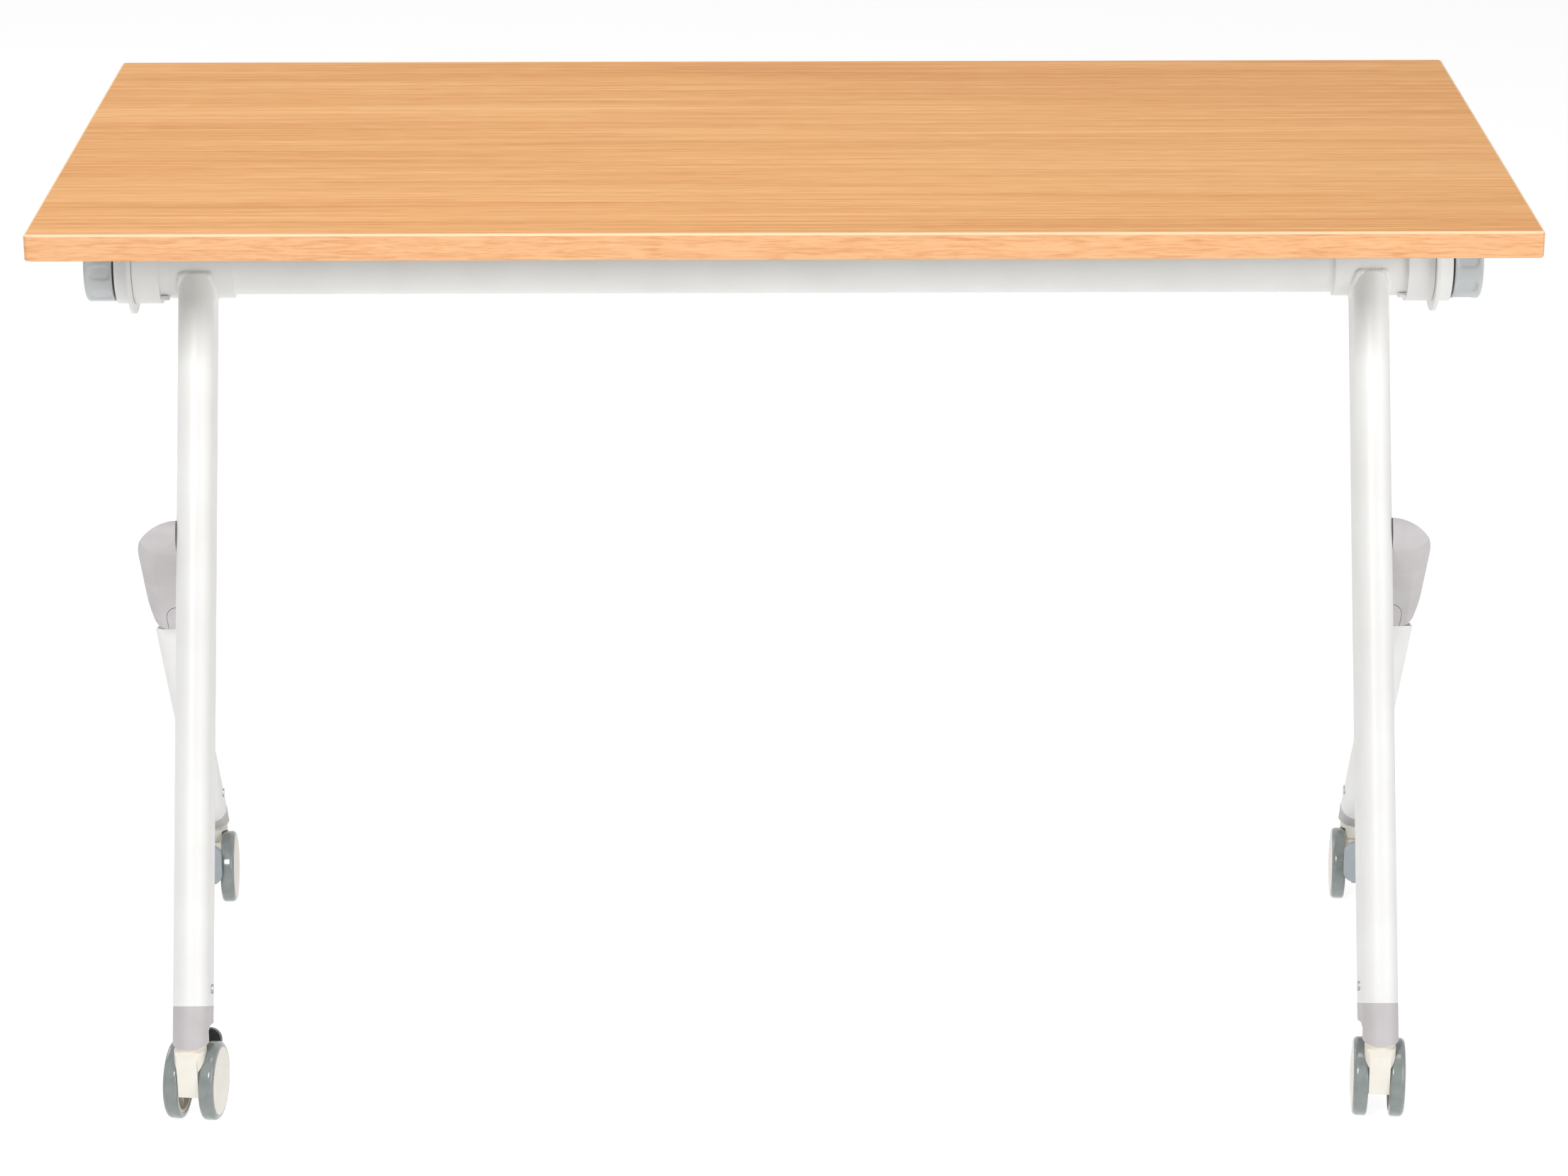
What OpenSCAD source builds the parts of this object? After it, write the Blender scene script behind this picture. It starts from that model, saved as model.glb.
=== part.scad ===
// Folding desk on casters: the top tilts upright about a tubular beam, and the rear legs fold
// forward about a housing on each front leg. Millimetres, +Z up, front of the desk towards -Y.
// The origin is on the floor, under the middle of the whole desk.

/* [Tabletop] */
// Length of the top, left to right
top_length = 1200; // [1100:10:1600]
// Depth of the top, front to back
top_depth = 600; // [560:10:700]
// Thickness of the top
top_thickness = 22; // [18:1:30]
// Height of the upper face above the floor
top_height = 750; // [740:5:780]
// Thickness of the edge band round the board
edge_band_thickness = 2; // [1:0.5:3]
// Radius of the top's corners, seen from above
top_corner_radius = 4; // [3.5:0.5:10]

/* [Beam] */
// Outer diameter of the round beam
beam_diameter = 50; // [44:1:52]
// Wall of the beam
beam_wall = 2; // [1.5:0.5:3]
// Distance from the underside of the top down to the beam's axis
beam_drop = 67; // [64:1:80]
// How far the beam's axis lies ahead of the middle of the top
beam_ahead = 67; // [60:1:70]

/* [Beam ends] */
// Distance from each end of the top to the middle of its front leg
leg_inset = 108; // [100:1:150]
// Outer diameter of the sleeve that carries the leg
sleeve_diameter = 56; // [56:1:60]
// Length of the sleeve from the middle of the leg inwards
sleeve_inner_length = 30.5; // [24:0.5:50]
// Length of the sleeve from the middle of the leg outwards
sleeve_outer_length = 30.5; // [24:0.5:40]
// Outer diameter of the collar next to the sleeve
collar_diameter = 65; // [62:1:74]
// Length of the collar
collar_length = 22; // [12:0.5:24]
// Diameter of the small stop pin in the collar's inner face
stop_pin_diameter = 4.5; // [3:0.5:6]
// Length of the stop pin beyond the collar
stop_pin_length = 5.5; // [3:0.5:10]
// Angle of the stop pin ahead of the collar's lowest point
stop_pin_angle = 39; // [0:1:90]
// Diameter of the thin flange of the tilting hub
flange_diameter = 82; // [70:1:90]
// Thickness of that flange
flange_thickness = 3; // [2:0.5:6]
// Outer diameter of the tilting hub
hub_diameter = 65; // [60:1:68]
// Length of the tilting hub beyond its flange
hub_length = 11.5; // [10:0.5:20]
// Diameter of the pivot shaft at each end of the beam
pivot_shaft_diameter = 16; // [12:1:20]
// Outer diameter of the dark washer between hub and knob
washer_diameter = 58; // [40:1:60]
// Thickness of the dark washer
washer_thickness = 1.4; // [1:0.1:2]
// Outer diameter of the locking knob
knob_diameter = 61; // [50:1:68]
// Length of the locking knob
knob_length = 24; // [18:0.5:30]
// Number of finger recesses round the knob
knob_recess_count = 8; // [4:1:10]
// Depth of each finger recess
knob_recess_depth = 1.3; // [0.5:0.1:2]
// How far the left knob is turned, in degrees
left_knob_turn = 43; // [0:1:45]
// How far the right knob is turned, in degrees
right_knob_turn = 28; // [0:1:45]

/* [Tilt brackets] */
// Length of the steel channel under each end of the top
rail_length = 420; // [300:10:450]
// Width of the channel
rail_width = 30; // [26:1:36]
// Height of the channel
rail_height = 15; // [12:1:18]
// Thickness of the channel's steel
rail_wall = 2.5; // [2:0.5:3]
// Thickness of the upright between the hub and the channel
upright_thickness = 9; // [6:0.5:12]
// Width of the upright where it meets the channel
upright_width = 130; // [90:5:180]
// Length of each board screw's thread
screw_length = 15; // [10:1:17]
// Diameter of each board screw's thread
screw_diameter = 5; // [4:0.5:6]

/* [Front legs] */
// Width of the flat-oval leg tube, left to right
leg_width = 30; // [26:1:32]
// Depth of the flat-oval leg tube, front to back
leg_depth = 60; // [54:1:66]
// Wall of the leg tube
leg_wall = 2; // [1.5:0.5:3]
// Distance from the beam's axis down to the square upper end of the leg tube
leg_top_drop = 12; // [0:1:20]
// Lean of the front legs, top towards the back, in degrees
front_lean = 24; // [22:0.5:25]
// Length of end cap that shows along the leg's front edge
front_cap_length = 36; // [30:1:50]

/* [Rear legs] */
// Outer diameter of the rear leg tube
rear_tube_diameter = 30; // [26:1:30]
// Wall of the rear leg tube
rear_tube_wall = 2; // [1.5:0.5:3]
// Gap between the front leg and the rear tube, side by side
leg_gap = 6; // [5:0.5:12]
// Lean of the rear legs, top towards the front, in degrees
rear_lean = 37.5; // [35:0.5:40]
// Height of the rear legs' pivot above the floor
pivot_height = 454; // [440:1:470]
// Diameter of the pivot pin
pivot_pin_diameter = 12; // [8:1:16]
// Length of end cap that shows along the rear leg's axis
rear_cap_length = 23; // [22:1:40]

/* [Hinge housings] */
// Half width of the housing round the pivot, seen from the side
housing_top_radius = 22; // [18:0.5:26]
// Half width of the housing at its lower end, seen from the side
housing_bottom_radius = 20; // [18:0.5:22]
// Height of the housing above the pivot, square to its tilt
housing_above = 10.5; // [9:0.5:14]
// Height of the housing below the pivot, square to its tilt
housing_below = 83; // [78:1:86]
// Radius of the arc over the pivot, seen from the front
housing_arc = 38.5; // [34:0.5:40]
// Radius of the housing's two outer edges, front and back
housing_edge_round = 17.5; // [10:0.5:18]
// Tilt of the housing's lower face, front edge up, in degrees
housing_tilt = 18.5; // [15:0.5:22]
// How far the housing stands proud of the rear tube's outer side
housing_bulge = 0.2; // [0.1:0.1:3]
// Radius of the arch of the release button
button_radius = 10; // [8:0.5:12]
// Height of the arch above the housing's lower face
button_height = 19; // [16:0.5:22]
// Thickness of the release button
button_thickness = 5; // [3:0.5:6]
// Travel of the release button
button_travel = 3; // [2:0.5:4]

/* [Casters] */
// Diameter of the wheels
wheel_diameter = 65.5; // [60:0.5:66]
// Width of each wheel
wheel_width = 14; // [12:0.5:16]
// Gap between the two wheels of a caster
wheel_gap = 18; // [16:0.5:22]
// Radial thickness of the tyre
tyre_thickness = 4.6; // [3:0.2:8]
// Rounding of the tyre's outer corner
tyre_round = 4; // [2:0.2:5]
// How far the wheel's domed face stands proud of the tyre's side
face_dome = 1.6; // [1:0.1:2.5]
// Height from the floor to the caster's mounting face
caster_height = 73; // [71:0.5:78]
// Distance from the swivel axis back to the axle
caster_trail = 12; // [11.5:0.5:14]
// Diameter of the caster's neck
neck_diameter = 25.5; // [22:0.5:28]
// Diameter of the caster's stem
stem_diameter = 11; // [8:0.5:11]
// Length of the stem inside the leg
stem_length = 14.5; // [10:0.5:15]
// Diameter of the axle
axle_diameter = 6; // [5:0.5:8]
// Width of the brake pedal
pedal_width = 23; // [22:1:40]
// Height of the brake pedal's paddle
pedal_height = 38; // [28:1:40]
// Rest angle of the front pedals, pressed down to brake
front_pedal_angle = 15; // [0:1:15]
// Rest angle of the rear pedals, released
rear_pedal_angle = 0; // [0:1:15]
// How far the front left caster is swivelled, in degrees
front_left_yaw = -7; // [-10:0.5:10]
// How far the front right caster is swivelled, in degrees
front_right_yaw = -5; // [-10:0.5:10]
// How far the rear left caster is swivelled, in degrees
rear_left_yaw = 1.5; // [-10:0.5:10]
// How far the rear right caster is swivelled, in degrees
rear_right_yaw = -4; // [-10:0.5:10]

/* [Clearances] */
// Radial clearance of every shaft that turns
running_clearance = 0.05; // [0.02:0.01:0.1]
// Gap between faces that pass each other
side_clearance = 0.4; // [0.3:0.05:0.6]

/* [Hidden] */
$fn = 64;
far = 400;

// Beam and the top above it
beam_radius = beam_diameter / 2;
underside = top_height - top_thickness;
beam_z = underside - beam_drop;
leg_x = top_length / 2 - leg_inset;
sleeve_end = leg_x + sleeve_outer_length;
collar_end = sleeve_end + collar_length;
flange_start = collar_end + side_clearance;
hub_start = flange_start + flange_thickness;
hub_end = hub_start + hub_length;
washer_start = hub_end + 0.3;
washer_end = washer_start + washer_thickness;
knob_start = washer_end + 0.3;
knob_end = knob_start + knob_length;
plug_length = 40;
rail_x = hub_start + hub_length / 2;
rail_bottom = underside - rail_height;
screw_head_diameter = 2.2 * screw_diameter;
screw_head_height = 3;
screw_count = 4;
screw_end_margin = 25;
screw_pitch = (rail_length - 2 * screw_end_margin) / (screw_count - 1);

// Front legs: the cap's front edge meets the caster's mounting face
nose_ahead = tan(front_lean) * (beam_z - caster_height) + leg_depth / 2 / cos(front_lean);
stem_behind_nose = 16.5;
front_stem_ahead = nose_ahead - stem_behind_nose;
front_reach = front_stem_ahead - caster_trail + wheel_diameter / 2;
back_reach = top_depth / 2 + beam_ahead;
beam_y = (front_reach - back_reach) / 2;
top_y = beam_y + beam_ahead;
front_stem_y = beam_y - front_stem_ahead;
nose_along = nose_ahead * sin(front_lean) + (beam_z - caster_height) * cos(front_lean);
front_cut = nose_along - front_cap_length;
boss_height = 22;

// Rear legs: the tube's axis meets the caster's mounting face on the swivel axis
rear_x = leg_x + leg_width / 2 + leg_gap + rear_tube_diameter / 2;
rear_radius = rear_tube_diameter / 2;
rear_bore_radius = rear_radius - rear_tube_wall;
pivot_y = beam_y - tan(front_lean) * (beam_z - pivot_height);
rear_stem_y = pivot_y + tan(rear_lean) * (pivot_height - caster_height);
rear_cut = (pivot_height - caster_height) / cos(rear_lean) - rear_cap_length;
rear_boss_height = 10;
rear_boss_radius = neck_diameter / 2 + 1.25;
rear_plug_length = 36;
rear_screw_above = 29;
tube_plug_length = 25;

// Hinge housings
housing_inner = leg_x + leg_width / 2 + side_clearance;
housing_outer = rear_x + rear_radius + housing_bulge;
pin_start = leg_x - leg_width / 2 + leg_wall;
pin_end = housing_inner + 9.5;
housing_run = housing_below / cos(rear_lean + housing_tilt);
button_x = housing_inner + 9.2;
button_face = housing_bottom_radius - button_thickness;

// Cap screws
cap_screw_diameter = 8;
cap_screw_head = 1.6;
cap_screw_shank = 3.5;
cap_screw_above = 14;

// Casters
wheel_radius = wheel_diameter / 2;
wheel_inner = wheel_gap / 2;
wheel_outer = wheel_inner + wheel_width;
hub_radius = wheel_radius - tyre_thickness;
body_width = wheel_gap - 2 * side_clearance;
mount_gap = 0.3;
neck_top = caster_height - mount_gap;
shoulder_top = 0.79 * caster_height;
shoulder_bottom = 0.65 * caster_height;
block_bottom = 30;
block_reach = 17;
chin_reach = 18.5;
axle_boss_radius = 13;
stem_seat = 20;
arm_width = 7.4;
arm_slot = arm_width + 2 * side_clearance;
arm_hub_radius = 8;
paddle_reach = 36;
paddle_thickness = 6;
axle_reach = wheel_outer - 3;

// Each caster: name, side (-1 left, 1 right), 1 if at the rear, yaw and pedal angle
CASTERS = [
    ["front_left", -1, 0, front_left_yaw, front_pedal_angle],
    ["front_right", 1, 0, front_right_yaw, front_pedal_angle],
    ["rear_left", -1, 1, rear_left_yaw, rear_pedal_angle],
    ["rear_right", 1, 1, rear_right_yaw, rear_pedal_angle],
];

// Each side: name, direction along X and the turn of its knob
SIDES = [
    ["left", -1, left_knob_turn],
    ["right", 1, right_knob_turn],
];
SIDED = [
    "leg_sleeve", "pivot_collar", "front_leg", "front_leg_cap", "tilt_hub", "tilt_bracket",
    "knob", "rear_leg", "hinge_housing", "rear_leg_cap", "rear_cap_screw", "release_button",
];
CASTER_PIECES = [
    "caster_body", "caster_pins", "brake_pedal",
    "wheel_hub_inner", "wheel_hub_outer", "tyre_inner", "tyre_outer",
];
SINGLES = [
    "table_board", "edge_band", "beam_tube", "pivot_axles", "friction_washers",
    "leg_pivot_pins", "front_cap_screws", "bracket_screws",
];

powder_white = "#f2f1ef";
housing_grey = "#c3bfc0";
knob_grey = "#aeb3b6";
nylon_cream = "#f3e9da";
tyre_grey = "#8e9a97";
pedal_grey = "#aab6ba";
pedal_dark = "#4b4a4c";
steel = "#b9bcc0";
dark = "#2b2b2d";
beech = "#eab17a";
beech_edge = "#f4b47c";

// Draws its children on the right for side 1 and mirrored on the left for side -1
module on_side(side) {
    if (side > 0) {
        children();
    } else {
        mirror([1, 0, 0]) children();
    }
}

// Both sides as one group of solids
module both_sides() {
    children();
    mirror([1, 0, 0]) children();
}

// A cylinder along +X on the beam's axis, from x = start to x = end
module beam_round(radius, start, end) {
    translate([start, beam_y, beam_z]) rotate([0, 90, 0]) cylinder(r = radius, h = end - start);
}

// The front leg's frame: origin on the beam's axis, -Z down the leg
module along_front_leg() {
    translate([leg_x, beam_y, beam_z]) rotate([-front_lean, 0, 0]) children();
}

// The rear leg's frame: origin on the pivot, -Z down the leg, -Y its front side
module along_rear_leg() {
    translate([rear_x, pivot_y, pivot_height]) rotate([rear_lean, 0, 0]) children();
}

// Flat-oval section
module oval(width, depth) {
    square([width, depth - width], center = true);
    for (end = [-1, 1]) translate([0, end * (depth - width) / 2]) circle(d = width);
}

module rounded_rectangle(width, depth, radius) {
    square([width - 2 * radius, depth], center = true);
    square([width, depth - 2 * radius], center = true);
    for (x = [-1, 1], y = [-1, 1]) {
        translate([x * (width / 2 - radius), y * (depth / 2 - radius)]) circle(r = radius);
    }
}

// Places of the board screws: two rows of one, one row a side
module at_screws() {
    for (x = [-rail_x, rail_x], i = [0 : screw_count - 1]) {
        y = top_y + 20 + (i - (screw_count - 1) / 2) * screw_pitch;
        translate([x, y, underside - rail_wall]) children();
    }
}

module table_board() {
    board_radius = top_corner_radius - edge_band_thickness;
    color(beech) difference() {
        translate([0, top_y, underside]) linear_extrude(top_thickness) {
            rounded_rectangle(
                top_length - 2 * edge_band_thickness,
                top_depth - 2 * edge_band_thickness,
                max(board_radius, 0.5)
            );
        }
        at_screws() cylinder(d = screw_diameter, h = screw_length + rail_wall);
    }
}

module edge_band() {
    board_radius = top_corner_radius - edge_band_thickness;
    color(beech_edge) translate([0, top_y, underside]) linear_extrude(top_thickness) {
        difference() {
            rounded_rectangle(top_length, top_depth, top_corner_radius);
            rounded_rectangle(
                top_length - 2 * edge_band_thickness,
                top_depth - 2 * edge_band_thickness,
                max(board_radius, 0.5)
            );
        }
    }
}

module beam_tube() {
    color(powder_white) difference() {
        beam_round(beam_radius, -collar_end, collar_end);
        beam_round(beam_radius - beam_wall, -far * 2, far * 2);
    }
}

module leg_sleeve() {
    color(powder_white) difference() {
        beam_round(sleeve_diameter / 2, leg_x - sleeve_inner_length, sleeve_end);
        beam_round(beam_radius, 0, far * 2);
    }
}

// The collar, with its stop pin lying over the sleeve
module pivot_collar() {
    pin_offset = sleeve_diameter / 2 + stop_pin_diameter / 2 + 0.1;
    color(powder_white) difference() {
        union() {
            beam_round(collar_diameter / 2, sleeve_end, collar_end);
            translate([sleeve_end - stop_pin_length, beam_y, beam_z])
                rotate([-stop_pin_angle, 0, 0])
                    translate([0, 0, -pin_offset]) rotate([0, 90, 0]) {
                        cylinder(d = stop_pin_diameter, h = stop_pin_length + 2);
                        sphere(d = stop_pin_diameter);
                    }
        }
        beam_round(beam_radius, 0, far * 2);
    }
}

// A plug in each end of the beam, drawn out into the pivot shaft
module pivot_axles() {
    color(steel) both_sides() {
        beam_round(beam_radius - beam_wall, collar_end - plug_length, collar_end);
        beam_round(pivot_shaft_diameter / 2, collar_end - 1, knob_end - 5);
    }
}

module friction_washers() {
    color(dark) both_sides() difference() {
        beam_round(washer_diameter / 2, washer_start, washer_end);
        beam_round(pivot_shaft_diameter / 2, 0, far * 2);
    }
}

// The tilting hub: a thin flange and a plain ring, turning on the pivot shaft
module tilt_hub() {
    color(powder_white) difference() {
        union() {
            beam_round(flange_diameter / 2, flange_start, hub_start);
            beam_round(hub_diameter / 2, hub_start, hub_end);
        }
        beam_round(pivot_shaft_diameter / 2 + running_clearance, 0, far * 2);
    }
}

// Channel under the top and the upright that joins it to the hub
module tilt_bracket() {
    upright_bottom = beam_z + hub_diameter / 4;
    foot_half = hub_diameter / 2 - 4;
    color(powder_white) difference() {
        union() {
            translate([rail_x, top_y + 20, underside - rail_height / 2]) difference() {
                cube([rail_width, rail_length, rail_height], center = true);
                translate([0, 0, -rail_wall])
                    cube([rail_width - 2 * rail_wall, rail_length + 2, rail_height], center = true);
            }
            translate([hub_start + 1, beam_y, 0]) rotate([90, 0, 90])
                linear_extrude(upright_thickness) polygon([
                    [-foot_half, upright_bottom],
                    [foot_half, upright_bottom],
                    [upright_width / 2, rail_bottom + 3],
                    [upright_width / 2, underside - rail_wall],
                    [-upright_width / 2, underside - rail_wall],
                    [-upright_width / 2, rail_bottom + 3],
                ]);
        }
        beam_round(hub_diameter / 2, 0, far * 2);
        at_screws() translate([0, 0, -1]) cylinder(d = screw_diameter, h = rail_wall + 2);
        at_screws() translate([0, 0, -screw_head_height - rail_height])
            cylinder(d = screw_head_diameter, h = screw_head_height + rail_height);
    }
}

module bracket_screws() {
    color(steel) at_screws() {
        cylinder(d = screw_diameter, h = rail_wall + screw_length);
        translate([0, 0, -screw_head_height]) {
            cylinder(d = screw_head_diameter, h = screw_head_height);
        }
    }
}

module knob(turn) {
    corner = 4;
    recess_width = 11;
    recess_tool = 16;
    body_radius = knob_diameter / 2;
    recess_radius = body_radius - knob_recess_depth;
    color(knob_grey) difference() {
        translate([knob_start, beam_y, beam_z]) rotate([0, 90, 0]) rotate_extrude() {
            square([body_radius, knob_length - corner]);
            square([body_radius - corner, knob_length]);
            translate([body_radius - corner, knob_length - corner]) circle(r = corner);
        }
        for (i = [0 : knob_recess_count - 1]) {
            translate([knob_start + 2, beam_y, beam_z])
                rotate([i * 360 / knob_recess_count + turn, 0, 0])
                    translate([0, -recess_width / 2, recess_radius])
                        cube([knob_length - corner - 1, recess_width, recess_tool]);
        }
        beam_round(pivot_shaft_diameter / 2 + running_clearance, 0, knob_end - 4.5);
    }
}

// Flat-oval leg, coped to the sleeve and cut square above its cap
module front_leg() {
    color(powder_white) difference() {
        along_front_leg() translate([0, 0, -front_cut])
            linear_extrude(front_cut - leg_top_drop) difference() {
                oval(leg_width, leg_depth);
                oval(leg_width - 2 * leg_wall, leg_depth - 2 * leg_wall);
            }
        beam_round(sleeve_diameter / 2, 0, far * 2);
        leg_pin(pivot_pin_diameter / 2);
        front_screw_hole();
    }
}

// The pivot pin's round, from inside the front leg to inside the housing
module leg_pin(radius, extra = 0) {
    translate([pin_start, pivot_y, pivot_height]) rotate([0, 90, 0])
        cylinder(r = radius, h = pin_end + extra - pin_start);
}

module leg_pivot_pins() {
    color(steel) both_sides() leg_pin(pivot_pin_diameter / 2);
}

// The stem's socket, opening downwards at the caster's mounting face
module stem_socket(stem_y) {
    translate([0, stem_y, caster_height - 1])
        cylinder(d = stem_diameter + 2 * running_clearance, h = stem_length + 1.5);
}

// End cap: it runs on down the leg's outline in front, and its back is cut away above the caster
module front_leg_cap() {
    back_length = 14;
    color(housing_grey) difference() {
        union() {
            along_front_leg() translate([0, 0, -front_cut - 1])
                linear_extrude(tube_plug_length + 1)
                    oval(leg_width - 2 * leg_wall, leg_depth - 2 * leg_wall);
            intersection() {
                along_front_leg() translate([0, 0, -front_cut - far / 2])
                    linear_extrude(far / 2) oval(leg_width, leg_depth);
                union() {
                    along_front_leg()
                        translate([-leg_width, -leg_depth, -front_cut - back_length])
                            cube([2 * leg_width, 2 * leg_depth, back_length]);
                    translate([leg_x, front_stem_y, caster_height]) {
                        cylinder(d = leg_width, h = boss_height + 20);
                        translate([-leg_width / 2 - 1, -leg_depth, 0])
                            cube([leg_width + 2, leg_depth, boss_height + 20]);
                    }
                    front_cap_web(back_length);
                }
            }
        }
        along_front_leg() translate([-leg_width, -leg_depth, -front_cut + tube_plug_length])
            cube([2 * leg_width, 2 * leg_depth, far]);
        translate([leg_x, 0, 0]) stem_socket(front_stem_y);
        front_screw_hole();
    }
}

// The slanted web from the back of the front leg's cap down to the round boss
module front_cap_web(back_length) {
    cut_y = beam_y - front_cut * sin(front_lean);
    cut_z = beam_z - front_cut * cos(front_lean);
    low_y = cut_y - back_length * sin(front_lean) + leg_depth / 2 * cos(front_lean);
    low_z = cut_z - back_length * cos(front_lean) - leg_depth / 2 * sin(front_lean);
    web_back = front_stem_y + leg_width / 2 - 3;
    translate([leg_x - leg_width / 2 - 1, 0, 0]) rotate([90, 0, 90]) linear_extrude(leg_width + 2)
        polygon([
            [low_y - 1, low_z + 1.5],
            [web_back, caster_height + 9],
            [front_stem_y - 5, caster_height + 9],
            [front_stem_y, cut_z],
            [cut_y, cut_z],
        ]);
}

// A cap screw's head stands on the leg's inner side, above the cut
module front_screw_axis() {
    along_front_leg()
        translate([-leg_width / 2 - cap_screw_head, 0, -front_cut + cap_screw_above])
            rotate([0, 90, 0]) children();
}

module front_screw_hole() {
    front_screw_axis() cylinder(d = cap_screw_shank, h = cap_screw_head + leg_width / 2);
}

module front_cap_screws() {
    color(steel) both_sides() front_screw_axis() {
        cylinder(d = cap_screw_diameter, h = cap_screw_head);
        cylinder(d = cap_screw_shank, h = cap_screw_head + leg_width / 2);
    }
}

module rear_leg() {
    color(powder_white) difference() {
        along_rear_leg() translate([0, 0, -rear_cut]) difference() {
            cylinder(r = rear_radius, h = rear_cut - housing_below);
            translate([0, 0, -1]) cylinder(r = rear_bore_radius, h = rear_cut);
        }
        below_housing() translate([-far / 2, -far / 2, 0]) cube(far);
        rear_screw_hole();
    }
}

// The housing's tilted frame, with its origin on the plane of the lower face
module below_housing() {
    translate([rear_x, pivot_y, pivot_height]) rotate([-housing_tilt, 0, 0])
        translate([0, 0, -housing_below]) children();
}

// Side view of the housing: a tapered slot from the pivot down the leg
module housing_side() {
    slot_length = housing_run + 2 * housing_bottom_radius;
    taper = asin((housing_top_radius - housing_bottom_radius) / slot_length);
    top_reach = [housing_top_radius * sin(taper), housing_top_radius * cos(taper)];
    low_reach = [housing_bottom_radius * sin(taper), housing_bottom_radius * cos(taper)];
    circle(r = housing_top_radius);
    translate([0, -slot_length]) circle(r = housing_bottom_radius);
    polygon([
        [-top_reach[1], -top_reach[0]],
        [top_reach[1], -top_reach[0]],
        [low_reach[1], -slot_length - low_reach[0]],
        [-low_reach[1], -slot_length - low_reach[0]],
    ]);
}

// Front view of the housing: an arc over the pivot, a straight side, a long curve in to the
// rounded foot
module housing_front() {
    width = housing_outer - housing_inner;
    height = housing_above + housing_below;
    side_arc = 110;
    foot_round = 12;
    waist = 0.446 * height;
    arc_x = width - housing_arc + 0.7;
    arc_z = height - housing_arc;
    side_top = arc_z + sqrt(pow(housing_arc, 2) - pow(width - arc_x, 2));
    foot_x = width - side_arc + sqrt(pow(side_arc - foot_round, 2) - pow(waist - foot_round, 2));
    foot_slope = atan((waist - foot_round) / (foot_x - width + side_arc));
    side_steps = 4;
    translate([housing_inner, 0]) intersection() {
        square([width, height]);
        union() {
            polygon(concat(
                [[0, side_top], [0, 0], [foot_x, 0]],
                [for (i = [side_steps : -1 : 1]) [
                    width - side_arc * (1 - cos(i * foot_slope / side_steps)),
                    waist - side_arc * sin(i * foot_slope / side_steps),
                ]],
                [[width, waist], [width, side_top]]
            ));
            translate([foot_x, foot_round]) circle(r = foot_round);
            translate([arc_x, arc_z]) circle(r = housing_arc);
        }
    }
}

// Section of the housing across the leg: square inside, rounded at both outer edges
module housing_section() {
    half = max(housing_top_radius, housing_bottom_radius);
    round_x = housing_outer - housing_edge_round;
    round_y = half - housing_edge_round;
    translate([housing_inner, -half]) square([round_x - housing_inner, 2 * half]);
    translate([housing_inner, -round_y]) square([housing_outer - housing_inner, 2 * round_y]);
    for (end = [-1, 1]) translate([round_x, end * round_y]) circle(r = housing_edge_round);
}

module housing_shape() {
    intersection() {
        translate([0, pivot_y, pivot_height]) rotate([rear_lean, 0, 0]) rotate([90, 0, 90])
            linear_extrude(far * 2) housing_side();
        translate([-rear_x, 0, 0]) below_housing()
            translate([0, far / 2, 0]) rotate([90, 0, 0]) linear_extrude(far) housing_front();
        translate([0, pivot_y, pivot_height]) rotate([rear_lean, 0, 0])
            translate([0, 0, -far / 2]) linear_extrude(far) housing_section();
    }
}

// Outline of the release button: an arch open at the housing's foot
module button_outline(radius) {
    arch_z = button_height - button_radius;
    translate([button_x - rear_x, 0, 0]) below_housing() translate([0, far / 2, 0])
        rotate([90, 0, 0]) linear_extrude(far) {
            translate([0, arch_z]) circle(r = radius);
            translate([-radius, -2]) square([2 * radius, arch_z + 2]);
        }
}

module hinge_housing() {
    pocket = button_face - button_travel - 0.5;
    color(housing_grey) difference() {
        union() {
            housing_shape();
            intersection() {
                along_rear_leg() translate([0, 0, -housing_run - tube_plug_length])
                    cylinder(r = rear_bore_radius, h = tube_plug_length + 20);
                below_housing() translate([-far / 2, -far / 2, -far]) cube([far, far, far + 2]);
            }
        }
        intersection() {
            button_outline(button_radius + side_clearance);
            along_rear_leg() translate([-far / 2, -far - pocket, -far]) cube(far);
            below_housing() translate([-far / 2, -far / 2, -0.01]) cube(far);
        }
        leg_pin(pivot_pin_diameter / 2 + running_clearance, 0.5);
    }
}

module release_button() {
    color(housing_grey) intersection() {
        housing_shape();
        button_outline(button_radius);
        along_rear_leg() translate([-far / 2, -far - button_face, -far]) cube(far);
        below_housing() translate([-far / 2, -far / 2, side_clearance]) cube(far);
    }
}

// Round cap: it carries on down the tube and bends upright over the caster
module rear_leg_cap() {
    color(housing_grey) difference() {
        union() {
            intersection() {
                union() {
                    along_rear_leg() translate([0, 0, -rear_cut - far])
                        cylinder(r = rear_radius, h = far);
                    translate([rear_x, rear_stem_y, caster_height]) {
                        cylinder(r = rear_boss_radius, h = rear_boss_height);
                        translate([0, 0, rear_boss_height]) sphere(r = rear_boss_radius);
                    }
                }
                translate([0, 0, caster_height]) cylinder(r = far * 3, h = far);
            }
            along_rear_leg() translate([0, 0, -rear_cut - 1])
                cylinder(r = rear_bore_radius, h = rear_plug_length + 1);
        }
        translate([rear_x, 0, 0]) stem_socket(rear_stem_y);
        rear_screw_hole();
    }
}

module rear_screw_axis() {
    along_rear_leg()
        translate([-rear_radius - cap_screw_head / 2, 0, -rear_cut + rear_screw_above])
            rotate([0, 90, 0]) children();
}

module rear_screw_hole() {
    rear_screw_axis() {
        cylinder(d = cap_screw_shank, h = rear_radius);
        cylinder(d = cap_screw_diameter, h = cap_screw_head);
    }
}

module rear_cap_screw() {
    color(steel) rear_screw_axis() {
        cylinder(d = cap_screw_diameter, h = cap_screw_head);
        cylinder(d = cap_screw_shank, h = rear_radius);
    }
}

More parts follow.
